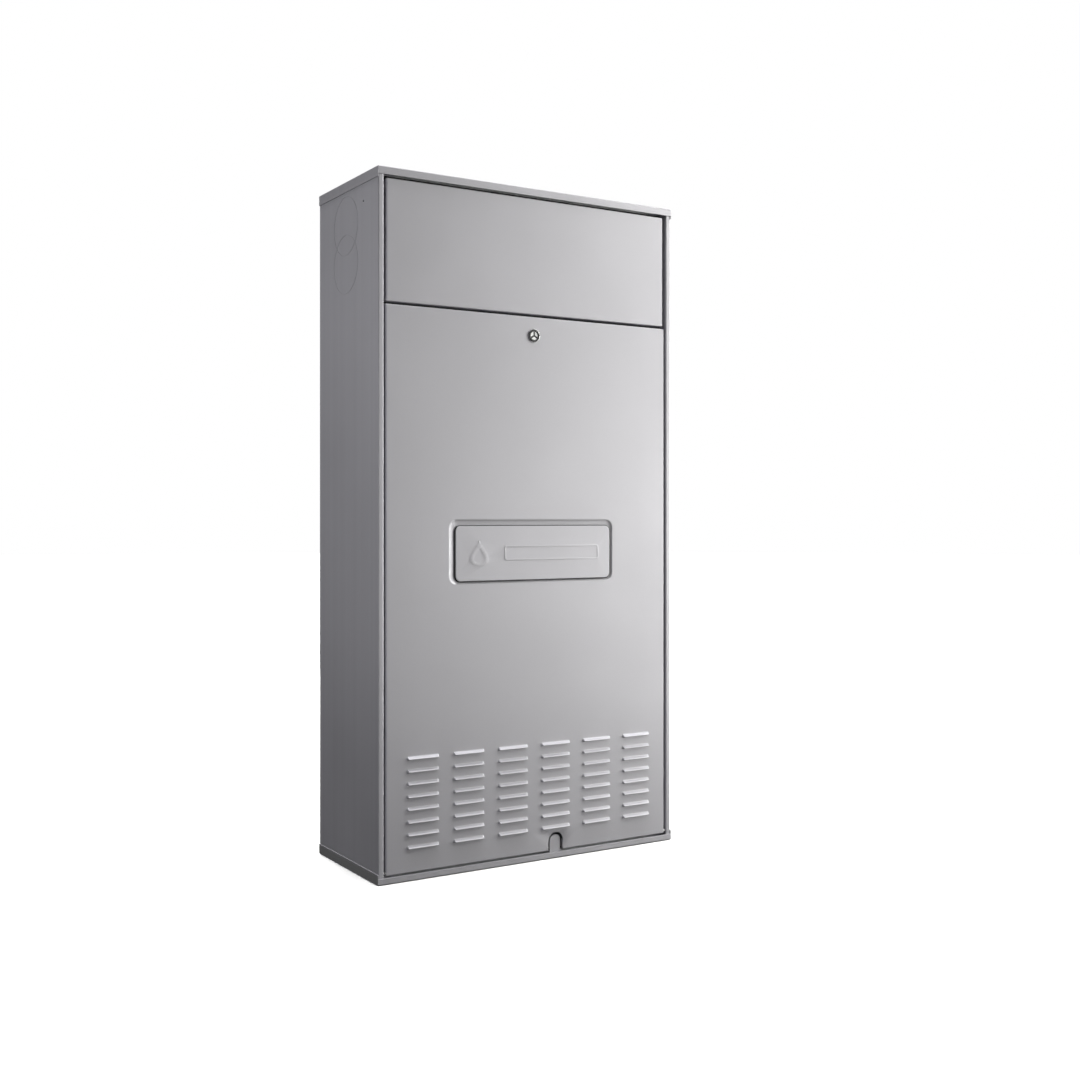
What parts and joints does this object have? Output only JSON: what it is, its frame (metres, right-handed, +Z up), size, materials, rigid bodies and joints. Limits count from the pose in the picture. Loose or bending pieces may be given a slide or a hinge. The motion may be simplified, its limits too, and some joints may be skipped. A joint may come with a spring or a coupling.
{
  "type": "recessed gas water heater",
  "caption": "Tall sheet-metal wall-recess cabinet with a louvred drop-down door, a pull-off upper panel and a condensing gas boiler inside.",
  "frame": {"origin": "centre of the base, on the floor of the recess", "axes": "+Z up, -Y out of the doors, +X to the right as seen from the front"},
  "size_m": [0.6, 0.253, 1.18],
  "materials": {
    "cabinet_paint": "semi-gloss powder coat",
    "galvanised": "galvanised",
    "dark_paint": "satin black",
    "foam": "closed-cell foam",
    "plated_steel": "bright zinc plate",
    "stainless": "stainless",
    "cast_alloy": "as cast",
    "brass": "machined",
    "copper": "drawn copper tube",
    "red_paint": "gloss",
    "black_plastic": "moulded",
    "grey_plastic": "moulded",
    "red_plastic": "moulded",
    "blue_plastic": "moulded",
    "yellow_plastic": "moulded",
    "white_plastic": "moulded",
    "ceramic_fibre": "fired",
    "circuit_board": "solder mask"
  },
  "bodies": {
    "cabinet": {"top_cap": "cabinet_paint", "bottom_tray": "cabinet_paint", "left_side_panel": "cabinet_paint", "right_side_panel": "cabinet_paint", "back_panel": "galvanised", "cross_rails": "galvanised", "frame_seal": "foam", "hinge_pins": "plated_steel", "fasteners": "plated_steel", "flue_collar": "galvanised", "flue_pipe": "cast_alloy", "boiler_frame": "galvanised", "exchanger_shell": "cast_alloy", "exchanger_coil": "stainless", "burner_door": "cast_alloy", "burner_tube": "stainless", "burner_gasket": "ceramic_fibre", "electrode": "ceramic_fibre", "fan_housing": "cast_alloy", "fan_motor": "black_plastic", "venturi": "cast_alloy", "air_silencer": "black_plastic", "gas_valve": "cast_alloy", "gas_pipe": "copper", "expansion_vessel": "red_paint", "vessel_hose": "stainless", "pump_body": "brass", "pump_motor": "black_plastic", "plate_exchanger": "stainless", "flow_group": "brass", "return_group": "brass", "diverter_actuator": "black_plastic", "safety_valve": "brass", "pressure_gauge": "black_plastic", "condensate_trap": "grey_plastic", "flow_pipe": "copper", "return_pipe": "copper", "service_valves": "brass", "control_box": "black_plastic", "control_board": "circuit_board", "wiring": "black_plastic"},
    "door": {"louvred_door": "cabinet_paint", "badge_plate": "cabinet_paint", "door_stiffeners": "galvanised", "lock_housing": "plated_steel"},
    "lock": {"lock_core": "plated_steel", "lock_cam": "plated_steel"},
    "panel": {"upper_panel": "cabinet_paint", "panel_studs": "plated_steel"},
    "impeller": {"fan_impeller": "cast_alloy"},
    "rotor": {"pump_rotor": "white_plastic"},
    "gas_handle": {"gas_lever": "yellow_plastic"},
    "flow_handle": {"flow_lever": "red_plastic"},
    "return_handle": {"return_lever": "blue_plastic"},
    "cold_handle": {"cold_lever": "blue_plastic"},
    "spindle": {"diverter_spindle": "stainless"},
    "relief": {"relief_knob": "red_plastic"},
    "needle": {"gauge_needle": "red_plastic"},
    "knob": {"heating_knob": "grey_plastic"},
    "button": {"reset_button": "grey_plastic"}
  },
  "joints": [
    {"name": "door_hinge", "type": "hinge", "parent": "cabinet", "child": "door", "pos_m": [0, -0.1175, 0.018], "axis": [1, 0, 0], "range_deg": [0, 90]},
    {"name": "lock_turn", "type": "hinge", "parent": "door", "child": "lock", "pos_m": [0, -0.1213, 0.9219], "axis": [0, 1, 0], "range_deg": [0, 90]},
    {"name": "panel_pull", "type": "slide", "parent": "cabinet", "child": "panel", "axis": [0, -1, 0], "range_m": [0, 0.06]},
    {"name": "fan_spin", "type": "hinge", "parent": "cabinet", "child": "impeller", "pos_m": [0.135, -0.06, 0.762], "axis": [0, 1, 0], "continuous": true},
    {"name": "pump_spin", "type": "hinge", "parent": "cabinet", "child": "rotor", "pos_m": [0.19, 0, 0.33], "axis": [0, 1, 0], "continuous": true},
    {"name": "gas_valve_turn", "type": "hinge", "parent": "cabinet", "child": "gas_handle", "pos_m": [0, 0.01, 0.134], "axis": [0, 1, 0], "range_deg": [0, 90]},
    {"name": "flow_valve_turn", "type": "hinge", "parent": "cabinet", "child": "flow_handle", "pos_m": [-0.17, 0.01, 0.134], "axis": [0, 1, 0], "range_deg": [0, 90]},
    {"name": "return_valve_turn", "type": "hinge", "parent": "cabinet", "child": "return_handle", "pos_m": [0.17, 0.01, 0.134], "axis": [0, 1, 0], "range_deg": [0, 90]},
    {"name": "cold_valve_turn", "type": "hinge", "parent": "cabinet", "child": "cold_handle", "pos_m": [0.085, 0.01, 0.134], "axis": [0, 1, 0], "range_deg": [0, 90]},
    {"name": "diverter_stroke", "type": "slide", "parent": "cabinet", "child": "spindle", "axis": [1, 0, 0], "range_m": [0, 0.008]},
    {"name": "relief_turn", "type": "hinge", "parent": "cabinet", "child": "relief", "pos_m": [0.12, -0.015, 0.222], "axis": [0, -1, 0], "range_deg": [0, 90]},
    {"name": "gauge_sweep", "type": "hinge", "parent": "cabinet", "child": "needle", "pos_m": [0.015, -0.092, 0.57], "axis": [0, 1, 0], "range_deg": [0, 270]},
    {"name": "knob_turn", "type": "hinge", "parent": "cabinet", "child": "knob", "pos_m": [-0.19, -0.092, 0.565], "axis": [0, 1, 0], "range_deg": [0, 270]},
    {"name": "button_press", "type": "slide", "parent": "cabinet", "child": "button", "axis": [0, 1, 0], "range_m": [0, 0.002], "stiffness_N_per_m": 400}
  ]
}
